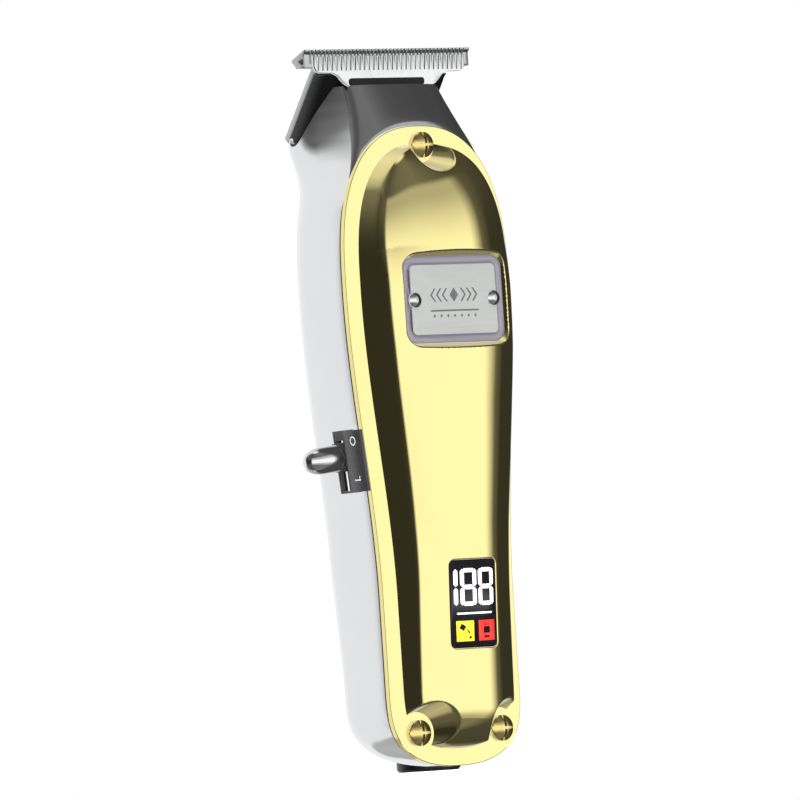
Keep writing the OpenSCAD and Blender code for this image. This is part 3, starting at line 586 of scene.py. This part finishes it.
def surface(name, color, rough, metal=0.0, vary=0.05, grain=900, stretch=(1, 1, 1), bump=0.0, coat=0.0,
            ior=None, spec=None, aniso=0.0, emit=0.0):
    """Procedural finish: broad tone variation, fine grain in roughness, and a fine bump."""
    mat = bpy.data.materials.new(name)
    mat.use_nodes = True
    tree = mat.node_tree
    bsdf = tree.nodes["Principled BSDF"]
    wide = noise(tree, 60, 4)
    fine = noise(tree, grain, 4, stretch, 0.6)
    tree.links.new(tinted(tree, wide.outputs["Fac"], shade(color, 1 - vary), shade(color, 1 + vary)),
                   bsdf.inputs["Base Color"])
    tree.links.new(ranged(tree, fine.outputs["Fac"], rough[0], rough[1]), bsdf.inputs["Roughness"])
    bsdf.inputs["Metallic"].default_value = metal
    bsdf.inputs["Coat Weight"].default_value = coat
    bsdf.inputs["Coat Roughness"].default_value = 0.04
    bsdf.inputs["Anisotropic"].default_value = aniso
    if ior is not None:
        bsdf.inputs["IOR"].default_value = ior
    if spec is not None:
        bsdf.inputs["Specular IOR Level"].default_value = spec
    if bump:
        b = tree.nodes.new("ShaderNodeBump")
        b.inputs["Strength"].default_value = bump
        b.inputs["Distance"].default_value = 0.00004
        tree.links.new(fine.outputs["Fac"], b.inputs["Height"])
        tree.links.new(b.outputs["Normal"], bsdf.inputs["Normal"])
    if emit:
        glow = tinted(tree, wide.outputs["Fac"], shade(color, 0.97), color)
        tree.links.new(glow, bsdf.inputs["Emission Color"])
        bsdf.inputs["Emission Strength"].default_value = emit
    return mat


GOLD = (1.0, 0.865, 0.38)
M = {
    "gold": surface("gold_plating", GOLD, (0.035, 0.06), 1, 0.015, 1400, bump=0.015),
    "gold_screw": surface("gold_screw_plating", (1.0, 0.8, 0.3), (0.2, 0.28), 1, 0.03, 2200, bump=0.05),
    "chrome": surface("chrome_shell", (0.87, 0.875, 0.885), (0.04, 0.07), 1, 0.012, 1400, bump=0.015),
    "chrome_small": surface("chrome_small", (0.85, 0.85, 0.86), (0.04, 0.09), 1, 0.03, 2600, bump=0.04),
    "plate": surface("satin_plate", (0.42, 0.4, 0.46), (0.3, 0.42), 1, 0.03, 900, (0.12, 1, 3), bump=0.15,
                     aniso=0.4),
    "panel": surface("panel_silver", (0.6, 0.61, 0.6), (0.4, 0.52), 0.7, 0.015, 1200, (0.2, 1, 2),
                     bump=0.06),
    "plate_ink": surface("plate_engraving", (0.18, 0.18, 0.19), (0.4, 0.55), 0.6, 0.08, 3000, bump=0.2),
    "glass_black": surface("display_black", (0.008, 0.008, 0.01), (0.03, 0.08), 0, 0.2, 1200, coat=0.3,
                           spec=0.5),
    "digits": surface("display_white", (0.93, 0.95, 0.96), (0.3, 0.45), 0, 0.02, 2400, emit=0.75),
    "amber": surface("display_amber", (0.98, 0.62, 0.03), (0.3, 0.45), 0, 0.04, 2400, emit=0.55),
    "red_lamp": surface("display_red", (0.8, 0.03, 0.02), (0.3, 0.45), 0, 0.05, 2400, emit=0.45),
    "black": surface("moulded_black", (0.022, 0.022, 0.025), (0.35, 0.55), 0, 0.2, 2600, bump=0.3),
    "bracket": surface("bracket_black", (0.006, 0.006, 0.007), (0.3, 0.45), 0, 0.2, 2200, bump=0.05,
                       spec=0.2),
    "switch": surface("switch_black", (0.035, 0.035, 0.038), (0.22, 0.36), 0, 0.15, 2400, bump=0.15),
    "comb": surface("comb_steel", (0.55, 0.56, 0.56), (0.2, 0.3), 1, 0.04, 700, (1, 1, 8), bump=0.08),
    "cutter": surface("cutter_steel", (0.82, 0.84, 0.83), (0.14, 0.24), 1, 0.04, 900, (1, 1, 8), bump=0.15),
    "steel": surface("turned_steel", (0.62, 0.62, 0.64), (0.2, 0.34), 1, 0.06, 1500, bump=0.2),
    "motor": surface("plated_can", (0.7, 0.71, 0.72), (0.22, 0.36), 1, 0.05, 900, (1, 1, 0.1), bump=0.15),
    "magnet": surface("sintered_magnet", (0.1, 0.1, 0.11), (0.5, 0.7), 0.4, 0.2, 3000, bump=0.5),
    "copper": surface("wound_copper", (0.72, 0.32, 0.16), (0.25, 0.4), 1, 0.15, 2600, (1, 1, 6), bump=0.6),
    "ivory": surface("acetal_ivory", (0.74, 0.7, 0.6), (0.35, 0.5), 0, 0.05, 2200, bump=0.15),
    "board": surface("board_green", (0.02, 0.16, 0.06), (0.25, 0.4), 0, 0.3, 1600, bump=0.3, coat=0.3),
    "sleeve": surface("cell_sleeve", (0.03, 0.1, 0.42), (0.2, 0.32), 0, 0.08, 1200, (1, 1, 0.2), bump=0.1),
    "nickel": surface("nickel_strip", (0.72, 0.7, 0.64), (0.25, 0.4), 1, 0.05, 1400, (0.2, 1, 1), bump=0.15),
    "wire_red": surface("wire_red", (0.5, 0.02, 0.015), (0.4, 0.55), 0, 0.1, 2200, bump=0.1),
    "wire_black": surface("wire_black", (0.02, 0.02, 0.022), (0.4, 0.55), 0, 0.2, 2200, bump=0.1),
    "white": surface("white_plastic", (0.82, 0.82, 0.8), (0.4, 0.55), 0, 0.04, 2200, bump=0.15),
    "mark": surface("printed_white", (0.72, 0.72, 0.74), (0.4, 0.55), 0, 0.05, 3000, bump=0.1),
    "mark_red": surface("printed_red", (0.35, 0.01, 0.015), (0.35, 0.5), 0, 0.1, 3000, bump=0.1),
    "foot": surface("foot_black", (0.02, 0.02, 0.022), (0.3, 0.45), 0, 0.2, 2200, bump=0.25),
}
USE = {
    "cover_screws": "gold_screw", "nameplate": "plate", "nameplate_rivets": "chrome_small",
    "display_window": "glass_black", "display_digits": "digits", "oil_lamp": "amber",
    "charge_lamp": "red_lamp", "display_module": "white", "circuit_board": "board", "board_screws": "steel",
    "charging_socket": "steel", "foot_ring": "foot", "battery_cell": "sleeve", "battery_holder": "black",
    "battery_tabs": "nickel", "battery_leads": "wire_red", "motor_can": "motor", "motor_magnets": "magnet",
    "motor_end_cap": "black",
    "motor_leads": "wire_black", "motor_shaft": "steel", "armature": "copper", "eccentric_cam": "ivory",
    "motor_mount": "black", "motor_screws": "steel", "blade_bracket": "bracket", "frame_screws": "steel",
    "fixed_blade": "comb", "blade_screws": "steel", "cutter_spring": "steel", "moving_cutter": "cutter",
    "drive_yoke": "ivory", "switch_plate": "switch", "switch_marks": "mark", "switch_red_mark": "mark_red",
    "slide_switch": "motor", "switch_knob": "chrome_small", "switch_carriage": "black",
}
BEVEL = {"cover_screws": 0.12, "nameplate": 0.1, "nameplate_rivets": 0.08, "blade_bracket": 0.2,
         "fixed_blade": 0.06, "blade_screws": 0.12, "moving_cutter": 0.04, "switch_plate": 0.12,
         "foot_ring": 0.15}


def paint(obj, mat):
    obj.data.materials.clear()
    obj.data.materials.append(mat)


for name, key in USE.items():
    node = nodes[name]
    paint(node, M[key])
    node.data.polygons.foreach_set("use_smooth", [True] * len(node.data.polygons))
    weld = node.modifiers.new("weld", "WELD")
    weld.merge_threshold = 2e-6
    if name in BEVEL:
        bevel = node.modifiers.new("bevel", "BEVEL")
        bevel.width = BEVEL[name] * MM
        bevel.segments = 2
        bevel.limit_method = "ANGLE"
        bevel.angle_limit = math.radians(35)
        bevel.harden_normals = False
paint(cover, M["gold"])
paint(housing, M["chrome"])
paint(ornament, M["plate_ink"])
paint(panel, M["panel"])
paint(lip, M["bracket"])
for obj in [cover, housing, panel, lip, ornament] + [nodes[name] for name in USE]:
    obj.visible_glossy = False      # polished faces show the studio, not each other

# ---------------------------------------------------------------- floor, light, camera
floor_mat = surface("floor_paper", (0.93, 0.93, 0.93), (0.9, 1.0), 0, 0.004, 60, spec=0.0)
FLOOR_R, FLOOR_Z = 420, -0.02
floor_turn = [math.radians(a) for a in range(0, 360, 5)]
floor = new_mesh("floor", [(FLOOR_R * math.cos(a), FLOOR_R * math.sin(a), FLOOR_Z) for a in floor_turn],
                 [tuple(range(len(floor_turn)))], False)
paint(floor, floor_mat)
floor.visible_glossy = False

world = bpy.data.worlds.new("studio")
bpy.context.scene.world = world
world.use_nodes = True
wt = world.node_tree
wt.nodes.clear()


def wmath(op, a, b=None):
    n = wt.nodes.new("ShaderNodeMath")
    n.operation = op
    for i, v in enumerate((a, b)):
        if v is None:
            continue
        if isinstance(v, (int, float)):
            n.inputs[i].default_value = v
        else:
            wt.links.new(v, n.inputs[i])
    return n.outputs[0]


def step_up(value, lo, hi):
    """0 below lo, 1 above hi, smooth between."""
    n = wt.nodes.new("ShaderNodeMapRange")
    n.interpolation_type = "SMOOTHSTEP"
    n.inputs["From Min"].default_value = lo
    n.inputs["From Max"].default_value = hi
    wt.links.new(value, n.inputs["Value"])
    return n.outputs["Result"]


def band(stops):
    """Brightness round the compass, from (azimuth in degrees, brightness) pairs.

    Azimuth 0 is in front and 90 on the right.
    """
    ramp = wt.nodes.new("ShaderNodeValToRGB")
    els = ramp.color_ramp.elements
    while len(els) > 1:
        els.remove(els[-1])
    for i, (az, v) in enumerate(stops):
        e = els[0] if i == 0 else els.new((az + 180) / 360)
        e.position = (az + 180) / 360
        e.color = (v, v, v, 1)
    wt.links.new(compass, ramp.inputs["Fac"])
    return ramp.outputs["Color"]


def blend(factor, a, b):
    """Colour a where factor is 0, b where it is 1."""
    n = wt.nodes.new("ShaderNodeMix")
    n.data_type = "RGBA"
    wt.links.new(factor, n.inputs["Factor"])
    for i, v in ((6, a), (7, b)):
        if isinstance(v, (int, float)):
            n.inputs[i].default_value = (v, v, v, 1)
        else:
            wt.links.new(v, n.inputs[i])
    return n.outputs[2]


coord = wt.nodes.new("ShaderNodeTexCoord")
split = wt.nodes.new("ShaderNodeSeparateXYZ")
wt.links.new(coord.outputs["Generated"], split.inputs[0])
az = wmath("ARCTAN2", split.outputs[0], wmath("MULTIPLY", split.outputs[1], -1))
compass = wmath("ADD", wmath("DIVIDE", az, 2 * math.pi), 0.5)
up_deg = wmath("DIVIDE", wmath("ARCSINE", split.outputs[2]), math.pi / 180)
# Bright in front and behind, dark at both sides, as a tall product tent is
level = band([(-180, 0.9), (-141, 0.86), (-135, 0.1), (-128, 0.03), (-76, 0.03), (-66, 0.05), (-58, 1.1),
              (48, 1.12), (57, 0.12), (66, 0.035), (128, 0.035), (136, 0.4), (146, 0.9), (180, 0.95)])
middle = band([(-180, 0.9), (-146, 0.84), (-136, 0.2), (-120, 0.08), (-80, 0.09), (-64, 0.12), (-54, 0.42),
               (46, 0.46), (56, 0.1), (70, 0.06), (128, 0.05), (136, 0.4), (146, 0.9), (180, 0.95)])
upper = band([(-180, 0.85), (-146, 0.7), (-130, 0.2), (-100, 0.1), (-60, 0.085), (-20, 0.15), (20, 0.17),
              (50, 0.085), (70, 0.065), (128, 0.06), (146, 0.6), (180, 0.85)])
under = band([(-180, 0.5), (-146, 0.42), (-130, 0.12), (-80, 0.07), (-55, 0.14), (40, 0.2), (60, 0.07),
              (128, 0.06), (146, 0.4), (180, 0.5)])
rising = blend(step_up(up_deg, 33, 38), blend(step_up(up_deg, 5, 30), level, middle), upper)
down_deg = wmath("MULTIPLY", up_deg, -1)
falling = blend(step_up(down_deg, 26, 30), blend(step_up(down_deg, 6, 24), level, middle), under)
sky = blend(step_up(up_deg, 74, 84), blend(wmath("GREATER_THAN", up_deg, 0), falling, rising), 0.9)
# The camera sees white behind the object; the studio shows only in reflections and as light
seen = wt.nodes.new("ShaderNodeLightPath")
color = blend(seen.outputs["Is Camera Ray"], sky, 1.0)
background = wt.nodes.new("ShaderNodeBackground")
wt.links.new(color, background.inputs["Color"])
world_out = wt.nodes.new("ShaderNodeOutputWorld")
wt.links.new(background.outputs[0], world_out.inputs[0])


MIDDLE = Vector((0, 0, 0.074))    # half-way up the trimmer, in metres


def toward(az, el):
    """Unit vector from the trimmer to a viewer at azimuth az, elevation el."""
    return Vector((math.sin(az) * math.cos(el), -math.cos(az) * math.cos(el), math.sin(el)))


def area_light(name, az_deg, el_deg, size, power, dist=0.9):
    light = bpy.data.lights.new(name, "AREA")
    light.size = size
    light.energy = power
    obj = bpy.data.objects.new(name, light)
    way = toward(math.radians(az_deg), math.radians(el_deg))
    obj.location = MIDDLE + way * dist
    obj.rotation_euler = (-way).to_track_quat("-Z", "Y").to_euler()
    obj.visible_glossy = False
    bpy.context.scene.collection.objects.link(obj)


area_light("top_light", 0, 85, 1.0, 14)
area_light("front_light", -30, 35, 0.6, 6)

CAM_AZ, CAM_EL, CAM_ROLL = math.radians(-35.49), math.radians(-2.106), math.radians(3.789)
CAM_DIST, CAM_LENS = 2.0, 440.06
CAM_RIGHT, CAM_ABOVE = -0.00088, 0.00204    # where it aims from the middle, in metres
away = toward(CAM_AZ, CAM_EL)
right = Vector((math.cos(CAM_AZ), math.sin(CAM_AZ), 0))
above = away.cross(right)
target = MIDDLE + right * CAM_RIGHT + above * CAM_ABOVE
cam_data = bpy.data.cameras.new("camera")
cam_data.lens = CAM_LENS
cam_data.sensor_width = 36
cam_data.clip_start = 0.01
cam = bpy.data.objects.new("camera", cam_data)
turned = Matrix.Rotation(-CAM_ROLL, 3, away)
cam_x, cam_y = turned @ right, turned @ above
cam.matrix_world = Matrix((
    (cam_x.x, cam_y.x, away.x, target.x + away.x * CAM_DIST),
    (cam_x.y, cam_y.y, away.y, target.y + away.y * CAM_DIST),
    (cam_x.z, cam_y.z, away.z, target.z + away.z * CAM_DIST),
    (0, 0, 0, 1)))
bpy.context.scene.collection.objects.link(cam)
bpy.context.scene.camera = cam
bpy.context.scene.view_settings.view_transform = "Standard"
bpy.context.scene.view_settings.look = "None"

bpy.context.view_layer.update()
